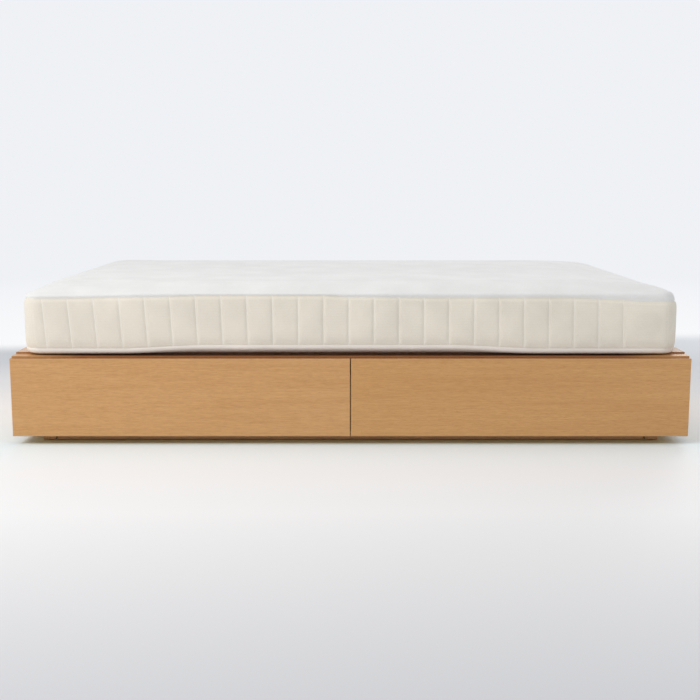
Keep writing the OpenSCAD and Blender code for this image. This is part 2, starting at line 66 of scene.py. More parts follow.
def add(owner, kind, values=None, links=None, stops=(), **settings):
    """Adds a node to a material or a world, with settings on the node itself.

    values: numbers and colours on its sockets. links: what feeds its other sockets.
    stops: the colours of a ramp, as (position, sRGB hex).
    """
    node = owner.node_tree.nodes.new(kind)
    for key, value in settings.items():
        setattr(node, key, value)
    for key, value in (values or {}).items():
        node.inputs[key].default_value = value
    join(owner, node, links or {})
    if stops:
        while len(node.color_ramp.elements) < len(stops):
            node.color_ramp.elements.new(0.5)
        for element, (position, code) in zip(node.color_ramp.elements, stops):
            element.position = position
            element.color = linear(code)
    return node


def begin(name, colour, roughness, values):
    """A named material, its shader with the constants set, and the piece's own coordinates."""
    material = bpy.data.materials.new(name)
    material.use_nodes = True
    shader = material.node_tree.nodes["Principled BSDF"]
    for key, value in {"Base Color": linear(colour), "Roughness": roughness, **values}.items():
        shader.inputs[key].default_value = value
    return material, shader, add(material, "ShaderNodeTexCoord").outputs["Object"]


def finish(material, shader, colour, roughness, height, depth, strength=0.4):
    """Joins colour, roughness and bump (its full depth in metres) to the shader."""
    bump = add(material, "ShaderNodeBump", {"Strength": strength, "Distance": depth},
               {"Height": height})
    join(material, shader, {"Base Color": colour, "Roughness": roughness, "Normal": bump})
    return material


def moulded(name, colour, deep, roughness, grit, values):
    """A moulded plastic or rubber: a fine spark-eroded skin, and slightly uneven gloss.

    deep: the colour of its darker clouds, about 14 mm wide. grit: grain of the skin in metres.
    """
    material, shader, place = begin(name, colour, roughness, values)
    grain = add(material, "ShaderNodeTexNoise", {"Scale": 1 / grit, "Detail": 3.0},
                {"Vector": place})
    cloud = add(material, "ShaderNodeTexNoise", {"Scale": 70.0, "Detail": 2.0}, {"Vector": place})
    tint = add(material, "ShaderNodeValToRGB", links={"Fac": cloud},
               stops=((0.3, deep), (0.7, colour)))
    gloss = add(material, "ShaderNodeMapRange", {"To Min": roughness - 0.07,
                "To Max": roughness + 0.09}, {"Value": grain})
    return finish(material, shader, tint, gloss, grain, 0.0001)


def dress(material, *names):
    """Gives CAD nodes that keep their own shape their real finish."""
    for name in names:
        for slot in nodes[name].material_slots:
            slot.material = material


# Polypropylene: a dull dark grey with a faint sheen, like most furniture glides.
dress(moulded("moulded_polypropylene", "#4a4846", "#3a3836", 0.45, 0.0006, {"IOR": 1.49}),
      "floor_glides")


# ------------------------------------------------------------------ plinth
# Square legs at the corners, with boards between them and joists across, all set back under
# the box so that it seems to float. They are solid oak, planed, eased and oiled a little darker.

def wood(name, colours, along, shift, rings, pores, roughness=0.48, rays=0.0, ends=None):
    """Sawn wood or veneer. The grain runs along one axis, and shift moves it from piece to piece.

    colours: pale early wood, dark late wood, pores. rings: width of a growth ring in metres.
    pores: how dark the pores are. rays: how clear the pale flecks of quarter-sawn wood are.
    ends: colours that a board along X turns to, 0.80 to 0.96 m away from its middle.
    """
    pale, dark, pore = colours
    material, shader, place = begin(name, pale, roughness, {"IOR": 1.5})
    turn = {"X": (0, 0, 0), "Y": (0, 0, -math.pi / 2), "Z": (0, math.pi / 2, 0)}[along]
    lie = add(material, "ShaderNodeMapping", {"Rotation": turn, "Location": shift},
              {"Vector": place})

    def streaks(length, width, detail=2.0, rough=0.5, warp=0.0):
        """Noise drawn out along the grain: length and width of a streak in metres."""
        drawn = add(material, "ShaderNodeMapping", {"Scale": (1 / length, 1 / width, 1 / width)},
                    {"Vector": lie})
        return add(material, "ShaderNodeTexNoise", {"Scale": 1.0, "Detail": detail,
                   "Roughness": rough, "Distortion": warp}, {"Vector": drawn})

    # The figure: broad tone, growth rings, and bundles of fibres 3 mm wide, each with its share
    tone = streaks(0.6, rings * 3, 3.0, 0.5, 0.3)
    ring = streaks(0.30, rings * 0.7, 4.0, 0.6, 0.8)
    fibre = streaks(0.040, 0.0032, 3.0, 0.6, 0.3)
    figure = add(material, "ShaderNodeMath", {1: 0.30}, {0: ring}, operation="MULTIPLY")
    for layer, share in ((fibre, 0.45), (tone, 0.25)):
        figure = add(material, "ShaderNodeMath", {1: share}, {0: layer, 2: figure},
                     operation="MULTIPLY_ADD")
    body = add(material, "ShaderNodeValToRGB", links={"Fac": figure},
               stops=((0.37, dark), (0.65, pale)))
    if ends:
        axes = add(material, "ShaderNodeSeparateXYZ", links={"Vector": place})
        out = add(material, "ShaderNodeMath", links={0: axes.outputs["X"]}, operation="ABSOLUTE")
        share = add(material, "ShaderNodeMapRange", {"From Min": 0.80, "From Max": 0.96},
                    {"Value": out})
        unshaded_ends = add(material, "ShaderNodeValToRGB", links={"Fac": figure},
                    stops=((0.37, ends[1]), (0.65, ends[0])))
        body = add(material, "ShaderNodeMix", links={"Factor": share, 6: body, 7: unshaded_ends},
                   data_type="RGBA")
    # Open pores: real ones are 0.3 mm wide, drawn 0.7 mm fine and 2.2 mm coarse so that they show
    fine = add(material, "ShaderNodeMapRange", {"From Min": 0.56, "From Max": 0.68,
               "To Max": pores}, {"Value": streaks(0.016, 0.0007, 1.0)})
    coarse = add(material, "ShaderNodeMapRange", {"From Min": 0.58, "From Max": 0.78,
                 "To Max": pores * 0.6}, {"Value": streaks(0.026, 0.0022)})
    holes = add(material, "ShaderNodeMath", links={0: fine, 1: coarse}, operation="MAXIMUM")
    body = add(material, "ShaderNodeMix", {7: linear(pore)}, {"Factor": holes, 6: body},
               data_type="RGBA")
    if rays:
        fleck = add(material, "ShaderNodeMapRange", {"From Min": 0.60, "From Max": 0.74,
                    "To Max": rays}, {"Value": streaks(0.035, 0.007, 2.0, 0.6, 0.3)})
        body = add(material, "ShaderNodeMix", {7: linear(pale)}, {"Factor": fleck, 6: body},
                   data_type="RGBA")
    height = add(material, "ShaderNodeMath", {0: 1.0}, {1: holes}, operation="SUBTRACT")
    gloss = add(material, "ShaderNodeMapRange", {"From Min": 0.3, "From Max": 0.7,
                "To Min": roughness - 0.06, "To Max": roughness + 0.08}, {"Value": fibre})
    return finish(material, shader, body, gloss, height, 0.00025, 0.5)


def thing_of(name, bm):
    """Makes a finished bmesh an object of the scene."""
    mesh = bpy.data.meshes.new(name)
    bm.to_mesh(mesh)
    bm.free()
    thing = bpy.data.objects.new(name, mesh)
    bpy.context.scene.collection.objects.link(thing)
    return thing


def piece(name, bm, materials, body, node):
    """Makes a bmesh a piece of the bed that rides on a body and stands for a CAD node."""
    thing = thing_of(name, bm)
    for material in materials:
        thing.data.materials.append(material)
    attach(thing, body)
    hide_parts(node)


def bevel(bm, edges, offset, segments):
    """Cuts edges back evenly: one segment is a chamfer, more are a round."""
    bmesh.ops.bevel(bm, geom=edges, offset=offset, offset_type="OFFSET", segments=segments,
                    profile=0.5, affect="EDGES", material=-1)


def block(bm, low, high):
    """Adds a sharp-edged board between two corners, and gives back its edges."""
    made = bmesh.ops.create_cube(bm, size=1.0)["verts"]
    bmesh.ops.scale(bm, vec=high - low, verts=made)
    bmesh.ops.translate(bm, vec=(low + high) / 2, verts=made)
    return list(dict.fromkeys(e for v in made for e in v.link_edges))


def solids(node):
    """The separate boards of a CAD node, as their lowest and highest corners."""
    bm = bmesh.new()
    bm.from_mesh(nodes[node].data)
    bmesh.ops.remove_doubles(bm, verts=bm.verts, dist=1e-6)
    left, found = set(bm.verts), []
    while left:
        reach, group = [left.pop()], []
        while reach:
            vert = reach.pop()
            group.append(vert.co.copy())
            near = {e.other_vert(vert) for e in vert.link_edges} & left
            left -= near
            reach.extend(near)
        found.append([Vector(pick(c[i] for c in group) for i in range(3)) for pick in (min, max)])
    bm.free()
    return found


def boards(node, materials, ease=0.001, short=0.0, marked=None):
    """Replaces a CAD node of plain boards with the same boards, their edges eased.

    short: how far they stop short of their solids at both ends in X.
    marked: picks the faces that have the second of two materials.
    """
    bm = bmesh.new()
    gap = Vector((short, 0.0, 0.0))
    for low, high in solids(node):
        bevel(bm, block(bm, low + gap, high - gap), ease, 3)
    for face in bm.faces:
        face.material_index = 1 if marked and marked(face) else 0
    piece(node + "_eased", bm, materials, "frame", node)


# Oiled oak: warm brown, dull, with open pores that run along each board.
plinth_colours = ("#d6a87a", "#bb8a62", "#855a39")
plinth_x = wood("oiled_oak_along", plinth_colours, "X", (0.3, 0.2, 0.7), 0.010, 0.5)
plinth_y = wood("oiled_oak_across", plinth_colours, "Y", (0.1, 0.5, 0.2), 0.010, 0.5)
plinth_z = wood("oiled_oak_upright", plinth_colours, "Z", (0.6, 0.1, 0.4), 0.010, 0.5)
# Painted shade: the legs' inner sides, where the long boards meet them, are painted dark, so
# the joints show as dark lines
plinth_joint_shade = wood("leg_joint_painted_shade", ("#5a3c26", "#452c1b", "#2f1d11"), "Z", (0.6, 0.1, 0.4),
                    0.010, 0.5)
boards("corner_legs", [plinth_z, plinth_joint_shade], 0.0015,
       marked=lambda face: face.normal.x * math.copysign(1, face.calc_center_median().x) < -0.5)
# The front board stops 2.5 mm short of each leg
boards("plinth_front", [plinth_x], short=0.0025)
boards("plinth_rear", [plinth_x])
boards("plinth_ends", [plinth_y])
boards("plinth_joists", [plinth_y])


# ------------------------------------------------------------------ box outside
# End panels and back panel of veneered board, edged all round with the same oak. They are
# doweled to the long boards, and the back is let in between the ends.

# Lacquered oak veneer: honey-coloured and straight-grained, satin, with fine dark pores in short
# dashes. Each panel has its own leaf of veneer, so each has its own shift.
oak_colours = ("#d6a56f", "#c5925a", "#9c6c39")


def oak_veneer(name, along, shift, colours=oak_colours):
    """A leaf of veneer with rings 12 mm apart and faint rays."""
    return wood(name, colours, along, shift, 0.012, 0.34, 0.46, rays=0.25)


boards("left_end_panel", [oak_veneer("oak_veneer_left_end", "Y", (0.2, 0.9, 0.3))])
boards("right_end_panel", [oak_veneer("oak_veneer_right_end", "Y", (0.8, 0.4, 0.6))])
boards("back_panel", [oak_veneer("oak_veneer_back", "X", (1.3, 0.7, 0.9))])


# ------------------------------------------------------------------ box inside
# Bottom panels, the long divider, partitions and upright rails: glued-up paulownia, planed and
# left raw, because nobody sees them. Dowels and corner brackets hold them to the ends.

# Raw paulownia: pale straw, very matt, with wide rings and only faint pores.
pale_colours = ("#e6cfa9", "#d3b586", "#b8966a")
pale_x = wood("raw_paulownia_along", pale_colours, "X", (0.4, 0.3, 0.2), 0.014, 0.18, 0.62)
pale_y = wood("raw_paulownia_across", pale_colours, "Y", (0.7, 0.2, 0.5), 0.014, 0.18, 0.62)
dress(pale_x, "left_bottom_panel", "right_bottom_panel", "long_divider", "frame_dowels",
      "front_rail", "rear_rail")
dress(pale_y, "front_partition", "rear_partition")


# ------------------------------------------------------------------ caps and end boards
# Flat caps along the front and the back, and thicker boards across both ends that stand a
# little higher and keep the mattress in place. All are solid oak, eased by hand.

# Solid oak: a darker, redder brown than the veneer, with a soft shine. The darker brown is partly
# the wood's own and partly painted shade, for faces that lie under the mattress and in gaps. The
# front cap's face carries this painted shade along its middle, under the mattress, and turns to
# the colour of the veneer towards its ends, where no mattress shades it; its top is painted darker
# still, as the deeper shade under the mattress.
shaded_oak_brown = ("#a56c3c", "#8d5b2f", "#643f24")
cap_top_shade = ("#6e4322", "#58351b", "#3d2412")


def solid_oak(name, along, shift, colours=shaded_oak_brown, roughness=0.20, ends=None):
    """A solid board with the same rings and pores as the veneer."""
    return wood(name, colours, along, shift, 0.012, 0.34, roughness, 0.2, ends)


front_cap_shift = (2.1, 0.2, 0.4)
boards("front_cap", [
    solid_oak("solid_oak_front_cap", "X", front_cap_shift, ends=oak_colours),
    solid_oak("solid_oak_cap_top_painted_shade", "X", front_cap_shift, cap_top_shade, 0.34, oak_colours)],
    marked=lambda face: face.normal.z > 0.9)
# The rear cap and the end boards have no painted shade: they are pale all along, but for their
# end grain
boards("rear_cap", [solid_oak("solid_oak_rear_cap", "X", (3.4, 0.6, 0.1), oak_colours, 0.30)])
end_grain = ("#b27c4d", "#9a673a", "#744a29")
for side, shift in (("left", (0.5, 1.9, 0.8)), ("right", (0.9, 2.6, 0.2))):
    boards(side + "_end_board", [
        solid_oak("solid_oak_" + side + "_board", "Y", shift, oak_colours, 0.22),
        solid_oak("end_grain_" + side, "Y", shift, end_grain, 0.4)],
        0.0015, marked=lambda face: abs(face.normal.y) > 0.6)


# ------------------------------------------------------------------ deck
# Ledges and bearers carry eight loose panels of plywood, side by side with hairline gaps, so
# that each can be lifted out by hand once the mattress is off.

dress(pale_x, "front_ledge", "rear_ledge")
dress(pale_y, "end_ledges", "front_bearers", "rear_bearers")


def waves(material, place, pitch):
    """A sine wave up the height of a piece, pitch metres from crest to crest."""
    axes = add(material, "ShaderNodeSeparateXYZ", links={"Vector": place})
    angle = add(material, "ShaderNodeMath", {1: 2 * math.pi / pitch}, {0: axes.outputs["Z"]},
                operation="MULTIPLY")
    return add(material, "ShaderNodeMath", links={0: angle}, operation="SINE")


# Thickness of one ply
ply = 0.0014


def plywood(name, colours, shift):
    """Plywood: a rotary-cut face with broad figure, and its plies as stripes on the edges."""
    material = wood(name, colours, "X", shift, 0.030, 0.15, 0.55)
    shader = material.node_tree.nodes["Principled BSDF"]
    face = shader.inputs["Base Color"].links[0].from_socket
    place = add(material, "ShaderNodeTexCoord").outputs["Object"]
    # The plies are alternately pale and dark
    bands = add(material, "ShaderNodeMapRange", {"From Min": -0.4, "From Max": 0.4},
                {"Value": waves(material, place, 2 * ply)})
    plies = add(material, "ShaderNodeValToRGB", links={"Fac": bands},
                stops=((0.0, colours[2]), (1.0, colours[0])))
    # The face shows where the surface looks up or down, and the plies everywhere else
    normal = add(material, "ShaderNodeNewGeometry").outputs["Normal"]
    axes = add(material, "ShaderNodeSeparateXYZ", links={"Vector": normal})
    flat = add(material, "ShaderNodeMath", links={0: axes.outputs["Z"]}, operation="ABSOLUTE")
    share = add(material, "ShaderNodeMapRange", {"From Min": 0.6, "From Max": 0.8},
                {"Value": flat})
    body = add(material, "ShaderNodeMix", links={"Factor": share, 6: plies, 7: face},
               data_type="RGBA")
    join(material, shader, {"Base Color": body})
    return material


# Deck plywood: pale tan birch, sanded, dry and matt. The front edge, which shows behind the cap,
# is painted the dark brown of the cap, as painted shade under the mattress.
deck_ply = plywood("sanded_birch_plywood", ("#dfc49a", "#cba877", "#a98055"), (0.2, 0.4, 0.1))
deck_edge_shade = solid_oak("panel_edge_painted_shade", "X", (1.1, 0.4, 0.3))
boards("front_deck_panels", [deck_ply, deck_edge_shade], 0.0008,
       marked=lambda face: face.normal.y < -0.5)
boards("rear_deck_panels", [deck_ply], 0.0008)


# ------------------------------------------------------------------ mattress
# A spring mattress, 1950 x 1200 mm. Its top and bottom are white polyester knit; the border is a
# cream jersey, padded and sewn in upright channels, and rolled seams close it above and below.

low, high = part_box("mattress")
centre = (low + high) / 2
# Each end stands a little proud of the plain solid
end_swell = 0.0035
half_l, half_w = (high.x - low.x) / 2 + end_swell, (high.y - low.y) / 2
# The round of the corners, and the least that it shrinks to towards the middle of the top
corner_r, least_r = 0.051, 0.012
core_l, core_w = half_l - corner_r, half_w - corner_r
# Heights of the two seams, and how far the pull of a seam reaches into the cloth
seam_low, seam_high, seam_reach = low.z + 0.0180, low.z + 0.1700, 0.012
# Channels are sewn from one corner of each side on; before the next corner a stretch stays plain
channel_pitch, channel_first, plain_least = 0.0747, 0.015, 0.114

# The border, row by row: height, and how far the row lies inside the widest outline
border_rows = [(seam_low + rise, inset) for rise, inset in (
    (0.0, 0.0022), (0.0022, 0.0014), (0.0055, 0.0007), (0.011, 0.0000), (0.018, -0.0006),
    (0.027, -0.0010))]
border_rows += [(seam_low + 0.027 + 0.0099 * i, -0.0012) for i in range(1, 10)]
border_rows += [(seam_high - drop, inset) for drop, inset in (
    (0.027, -0.0012), (0.019, -0.0009), (0.0125, -0.0003), (0.0078, 0.0007), (0.0040, 0.0024),
    (0.0, 0.0058))]
# Rings from the upper seam to the crown, and from the lower seam to the deck: inset, rise
top_rings = [(0.0041, 0.0028), (0.0035, 0.0058), (0.0044, 0.0086), (0.0078, 0.0110),
             (0.0140, 0.0133), (0.0225, 0.0165), (0.0350, 0.0208), (0.0540, 0.0258),
             (0.0820, 0.0308), (0.1250, 0.0348), (0.1900, 0.0366), (0.2700, 0.0375),
             (0.3700, 0.0381), (0.4700, 0.0383), (0.5500, 0.0383)]
bottom_rings = [(0.0017, -0.0018), (0.0013, -0.0046), (0.0014, -0.0084), (0.0026, -0.0121),
                (0.0056, -0.0151), (0.0110, -0.0170), (0.0200, -0.0178), (0.0320, -0.0180),
                (0.0900, -0.0180), (0.2500, -0.0180), (0.5500, -0.0180)]
# Columns of the mesh: steps away from a channel on both sides, and the even ones of a plain stretch
near_channel = (0, 0.0024, 0.0056, 0.011, 0.019, 0.028)
plain_from, plain_step, column_least = 0.047, 0.0095, 0.003


def channel_places(half):
    """Where the channels of one side are sewn, measured from its middle."""
    count = int((2 * half - channel_first - plain_least) / channel_pitch + 1e-6) + 1
    return [-half + channel_first + i * channel_pitch for i in range(count)]


def column_places(half):
    """Where the mesh is cut along one side: close together at each channel, wider between."""
    sewn = channel_places(half)
    places = {-half, half}
    for at in sewn:
        places |= {at + sign * step for sign in (-1, 1) for step in near_channel}
        places.add(at + channel_pitch / 2)
    at = sewn[-1] + plain_from
    while at < half:
        places.add(at)
        at += plain_step
    found = sorted(p for p in places if -half <= p <= half)
    return [p for i, p in enumerate(found) if p in (-half, half) or
            (half - abs(p) > column_least and p - found[i - 1] > 1e-5)]


def spot(co):
    """Where a point of the outline belongs: its place on the core rectangle, and the way out."""
    core = Vector((max(-core_l, min(core_l, co.x)), max(-core_w, min(core_w, co.y))))
    return core, (Vector(co.xy) - core).normalized()


def draw_in(verts, spots, inset, height):
    """Puts a ring at its inset from the widest outline, and at its height."""
    r = max(corner_r - inset, least_r)
    shrink = Vector(((half_l - inset - r) / core_l, (half_w - inset - r) / core_w))
    for v in verts:
        core, out = spots[v]
        v.co = (core.x * shrink.x + out.x * r, core.y * shrink.y + out.y * r, height)


def on_side(v, axis, sign):
    """Whether a point is on the straight part of one side, which runs along an axis."""
    half, reach = ((core_l, half_w), (core_w, half_l))[axis]
    return abs(v.co[1 - axis] - sign * reach) < 1e-5 and abs(v.co[axis]) < half + 1e-5


def upright_edges(bm):
    """The edges that run from the bottom of the first cube to its top."""
    return [e for e in bm.edges if abs(e.verts[0].co.z - e.verts[1].co.z) > 0.5]


def column(v):
    """A point's place in plan, rounded so that it names the point."""
    return round(v.co.x, 6), round(v.co.y, 6)


bed = bmesh.new()
bmesh.ops.create_cube(bed, size=1.0)
bmesh.ops.scale(bed, vec=(2 * half_l, 2 * half_w, 1.0), verts=bed.verts)
bevel(bed, upright_edges(bed), corner_r, 8)
# Each straight side is cut into its columns, and then every side into its rows
for axis, half in ((0, core_l), (1, core_w)):
    places = column_places(half)
    for sign in (-1, 1):
        turn = 1 if (axis == 0) == (sign < 0) else -1
        long_edges = [e for e in bed.edges if all(on_side(v, axis, sign) for v in e.verts)
                      and abs(e.verts[0].co[axis] - e.verts[1].co[axis]) > 0.1]
        bmesh.ops.subdivide_edges(bed, edges=long_edges, cuts=len(places) - 2, use_grid_fill=True)
        for level in (-0.5, 0.5):
            row = sorted((v for v in bed.verts
                          if on_side(v, axis, sign) and abs(v.co.z - level) < 1e-6),
                         key=lambda v: turn * v.co[axis])
            for v, at in zip(row, places):
                v.co[axis] = turn * at
bmesh.ops.subdivide_edges(bed, edges=upright_edges(bed), cuts=len(border_rows) - 2,
                          use_grid_fill=True)
spots = {v: spot(v.co) for v in bed.verts}
rows = {}
for v in bed.verts:
    rows.setdefault(round((v.co.z + 0.5) * (len(border_rows) - 1)), []).append(v)
for index, (height, inset) in enumerate(border_rows):
    draw_in(rows[index], spots, inset, height)
# The top and the bottom: each ring is inset from the last, and the middle is closed to a point
for rings, sign, seam in ((top_rings, 1, seam_high), (bottom_rings, -1, seam_low)):
    panel = max(bed.faces, key=lambda f: sign * f.calc_center_median().z)
    for inset, rise in rings:
        last = {column(v): spots[v] for v in panel.verts}
        bmesh.ops.inset_individual(bed, faces=[panel], thickness=0.0, depth=0.0)
        for v in panel.verts:
            spots[v] = last[column(v)]
        draw_in(list(panel.verts), spots, inset, seam + rise)
    bmesh.ops.poke(bed, faces=[panel])
bmesh.ops.recalc_face_normals(bed, faces=bed.faces)
for face in bed.faces:
    face.smooth = True
    height = face.calc_center_median().z
    face.material_index = 0 if height > seam_high else 1 if height > seam_low else 2


def from_channel(core, out):
    """How far a point is along its side from the nearest channel: 1 where there is none."""
    if abs(out.y) > 0.999:
        along, half = -core.x * out.y, core_l
    elif abs(out.x) > 0.999:
        along, half = core.y * out.x, core_w
    else:
        return 1.0
    return min((along - at for at in channel_places(half)), key=abs)


def on_border(z):
    """0 at the seams of the border and outside it, rising to 1 out of the seams' reach."""
    return max(0.0, min(1.0, (z - seam_low) / seam_reach, (seam_high - z) / seam_reach))


bed.verts.index_update()
gaps = [from_channel(*spots[v]) if v in spots else 1.0 for v in bed.verts]
outs = [spots[v][1].to_3d() if v in spots else Vector((0, 0, 0)) for v in bed.verts]
mattress = thing_of("quilted_mattress", bed)
mesh = mattress.data

# Each channel starts as a shallow furrow, pulled in by its thread, least towards the ends
furrow_end, furrow_more, furrow_width = 0.0012, 0.0014, 0.0034
for v, gap, out in zip(mesh.vertices, gaps, outs):
    furrow = furrow_end + furrow_more * (1 - (v.co.x / half_l) ** 2)
    v.co -= out * furrow * math.exp(-(gap / furrow_width) ** 2) * on_border(v.co.z)
formed = [v.co.copy() for v in mesh.vertices]

# The filling swells the border between seams and channels: cloth under pressure finds its shape.
# The top, the bottom, the seams and the threads are held, and no other point gives more than 5 mm
swell_frames, swell_most = 20, 0.005
held_thread, held_seam = 0.0005, 0.001
held = mattress.vertex_groups.new(name="held")
for v, gap in zip(mesh.vertices, gaps):
    if abs(gap) < held_thread or not seam_low + held_seam < v.co.z < seam_high - held_seam:
        held.add([v.index], 1.0, "REPLACE")
cloth = mattress.modifiers.new("swell", "CLOTH")
cloth.settings.quality = 5
cloth.settings.mass = 0.4
cloth.settings.tension_stiffness = 20
cloth.settings.compression_stiffness = 20
cloth.settings.shear_stiffness = 8
cloth.settings.bending_stiffness = 4
cloth.settings.vertex_group_mass = "held"
cloth.settings.use_pressure = True
cloth.settings.uniform_pressure_force = 1
cloth.settings.effector_weights.gravity = 0
cloth.collision_settings.use_collision = False
cloth.point_cache.frame_end = swell_frames
for number in range(1, swell_frames + 1):
    bpy.context.scene.frame_set(number)
swollen = mattress.evaluated_get(bpy.context.evaluated_depsgraph_get())
moved = [v.co.copy() for v in swollen.to_mesh().vertices]
swollen.to_mesh_clear()
mattress.modifiers.remove(cloth)
mattress.vertex_groups.remove(held)
bpy.context.scene.frame_set(1)
for v, was, now in zip(mesh.vertices, formed, moved):
    step = now - was
    v.co = was + step * min(1.0, swell_most / max(step.length, 1e-9))


def fade(value, start, end):
    """0 up to the start and 1 from the end on, with a smooth curve between them."""
    t = max(0.0, min(1.0, (value - start) / (end - start)))
    return t * t * (3 - 2 * t)


# How far the border of the real mattress strays, in metres. On the front the channels lean, most
# on the left, and their row bows to the right in the middle
lean_left, lean_right, bow_middle, bow_right, bow_all = 0.0115, 0.0040, 0.0085, 0.0050, -0.0022
# The upper seam sinks towards the front corners, most at the right, where the top stays up over
# it but draws inwards; left of the middle it stands high. Towards the back the right end sinks
# and the left one rises
sink_left, sink_right, sink_half, seam_hump = 0.0055, 0.0125, 0.0035, 0.0033
sink_back_right, rise_back_left, top_inwards = 0.0060, 0.0035, 0.0090
# The lower edge turns under in the middle of the front, and hangs over the deck at its ends
turn_under, overhang = 0.0080, 0.0025
for v, was in zip(mesh.vertices, formed):
    up = (was.z - seam_low) / (seam_high - seam_low)
    inside = half_w + was.y
    if 0 <= up <= 1 and was.y < 0:
        lean = lean_left * fade(-was.x, 0, 0.85) + lean_right * fade(was.x, 0, 0.85)
        bow = (bow_middle * max(0.0, 1 - (was.x / 0.85) ** 2)
               + bow_right * fade(was.x, -0.45, -0.05) + bow_all)
        v.co.x += ((lean * (1 - up) + bow) * fade(half_l - abs(was.x), 0, 0.07)
                   * fade(-was.y / half_w, 0.5, 1))
    front = fade(inside, 0.35, 0)
    roll = fade(was.z - seam_high, 0, seam_reach)
    drop = sink_right * fade(was.x, 0.63, 0.97) + sink_half * fade(was.x, 0, 0.3)
    drop -= seam_hump * fade(was.x, -0.58, -0.44) * fade(was.x, -0.02, -0.08)
    sink = (sink_left * fade(-was.x, 0.55, 0.90) + drop * (1 - roll)) * front
    sink += (sink_back_right * fade(was.x, 0.70, 0.95)
             - rise_back_left * fade(-was.x, 0.70, 0.95)) * (1 - front)
    v.co.z -= sink * fade(up * 1.2, 0, 1)
    v.co.x -= top_inwards * fade(was.x, 0.90, 0.97) * roll * front
    foot = fade(up, 0.4, 0)
    tucked = fade(abs(was.x + 0.07), 0.63, 0.36) * fade(inside, 0.034, 0)
    v.co.z = max(v.co.z + turn_under * tucked * foot, low.z)
    v.co.z -= overhang * (1 - tucked) * fade(inside, 0.036, 0) * foot
    v.co.y += centre.y

# The threads: 1 along each channel, and 0 from the nearest column of the mesh on
sewn = mesh.attributes.new("sewn", "FLOAT", "POINT")
for index, (gap, was) in enumerate(zip(gaps, formed)):
    sewn.data[index].value = max(0.0, 1 - abs(gap) / near_channel[1]) if on_border(was.z) else 0.0


def knit(name, colour, deep, loop, tall):
    """Knitted polyester: rows of loops, a soft fuzz 1.4 mm fine, and dye in clouds of 110 mm.

    loop: width of a loop in metres. tall: its height over its width.
    """
    material, shader, place = begin(name, colour, 0.85,
                                    {"Sheen Weight": 0.15, "Sheen Roughness": 0.5})
    cloud = add(material, "ShaderNodeTexNoise", {"Scale": 9.0, "Detail": 3.0}, {"Vector": place})
    scaled = add(material, "ShaderNodeMapping", {"Scale": (1 / loop, 1 / loop, 1 / (loop * tall))},
                 {"Vector": place})
    loops = add(material, "ShaderNodeTexVoronoi", {"Scale": 1.0, "Randomness": 0.3},
                {"Vector": scaled})
    fuzz = add(material, "ShaderNodeTexNoise", {"Scale": 700.0, "Detail": 2.0}, {"Vector": place})
    height = add(material, "ShaderNodeMath", {1: -1.2}, {0: loops, 2: fuzz},
                 operation="MULTIPLY_ADD")
    # Painted shade: each loop darkens towards its edges, over the dye's clouds
    tone = add(material, "ShaderNodeMath", {1: -0.6}, {0: loops, 2: cloud},
               operation="MULTIPLY_ADD")
    tint = add(material, "ShaderNodeValToRGB", links={"Fac": tone},
               stops=((0.0, deep), (0.6, colour)))
    gloss = add(material, "ShaderNodeMapRange", {"To Min": 0.78, "To Max": 0.92}, {"Value": fuzz})
    return finish(material, shader, tint, gloss, height, 0.0008, 0.35)


# White knit: neutral white, smooth and closed. Cream jersey: warmer and a little ribbed, with a
# paler thread along each channel, in stitches 4 mm long with 1.5 mm between. Real loops are
# 1.2 mm wide; here they are 3 mm, so that they show. Ecru knit: as the white one, but undyed.
stitch_pitch = 0.0055
white = knit("white_polyester_knit", "#efefee", "#e3e3e2", 0.0030, 1.0)
jersey = knit("cream_jersey", "#f2ebdd", "#e3dccf", 0.0032, 1.5)
ecru = knit("ecru_bottom_knit", "#f6f0e9", "#eae4dc", 0.0030, 1.0)
shader = jersey.node_tree.nodes["Principled BSDF"]
cloth_colour = shader.inputs["Base Color"].links[0].from_socket
place = add(jersey, "ShaderNodeTexCoord").outputs["Object"]
line = add(jersey, "ShaderNodeAttribute", attribute_name="sewn").outputs["Fac"]
on_line = add(jersey, "ShaderNodeMapRange", {"From Min": 0.55, "From Max": 0.75}, {"Value": line})
stitch = add(jersey, "ShaderNodeMapRange", {"From Min": -0.6, "From Max": -0.3},
             {"Value": waves(jersey, place, stitch_pitch)})
thread = add(jersey, "ShaderNodeMath", links={0: on_line, 1: stitch}, operation="MULTIPLY")
body = add(jersey, "ShaderNodeMix", {7: linear("#f7f4ee")}, {"Factor": thread, 6: cloth_colour},
           data_type="RGBA")
join(jersey, shader, {"Base Color": body})
for material in (white, jersey, ecru):
    mesh.materials.append(material)
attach(mattress, "frame")
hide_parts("mattress")


# ------------------------------------------------------------------ drawers
# Two drawers on rollers. The show fronts are veneered board lipped with solid oak, with a finger
# bevel behind the lower edge, and screwed on from inside; the boxes are paulownia.

# Drawer plywood: thin lauan, pinkish tan, sanded smooth.
tray_ply = plywood("sanded_lauan_plywood", ("#e2c8a2", "#cfae82", "#a7835c"), (0.9, 0.1, 0.6))
